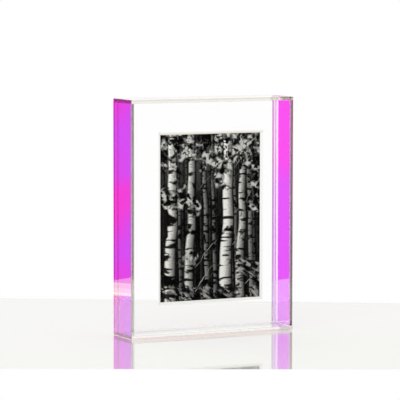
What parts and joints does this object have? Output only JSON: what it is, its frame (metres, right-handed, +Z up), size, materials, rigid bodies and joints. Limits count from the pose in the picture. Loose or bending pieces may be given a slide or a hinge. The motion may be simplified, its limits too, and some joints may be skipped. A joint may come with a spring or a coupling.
{
  "type": "acrylic box photo frame",
  "caption": "Free-standing clear acrylic box photo frame with iridescent side walls, a print floating behind the front and a removable rear panel.",
  "frame": {"origin": "centre of the face that the frame stands on", "axes": "+X to the right seen from the front, the front faces -Y, +Z up"},
  "size_m": [0.165, 0.0382, 0.2159],
  "materials": {
    "clear_acrylic": "clear cast acrylic, polished, faint grey-green at the edges",
    "iridescent_film": "thin iridescent film, see-through magenta to violet, pale where it mirrors light",
    "print_paper": "semi-gloss photographic paper with a white border"
  },
  "bodies": {
    "box": {"front_panel": "clear_acrylic", "top_panel": "clear_acrylic", "bottom_panel": "clear_acrylic", "left_panel": "clear_acrylic", "right_panel": "clear_acrylic", "left_film": "iridescent_film", "right_film": "iridescent_film", "photo_print": "print_paper"},
    "rear_panel": {"rear_panel": "clear_acrylic"}
  },
  "joints": [
    {"name": "rear_panel_slide", "type": "slide", "parent": "box", "child": "rear_panel", "axis": [0, 1, 0], "range_m": [0, 0.045]}
  ]
}
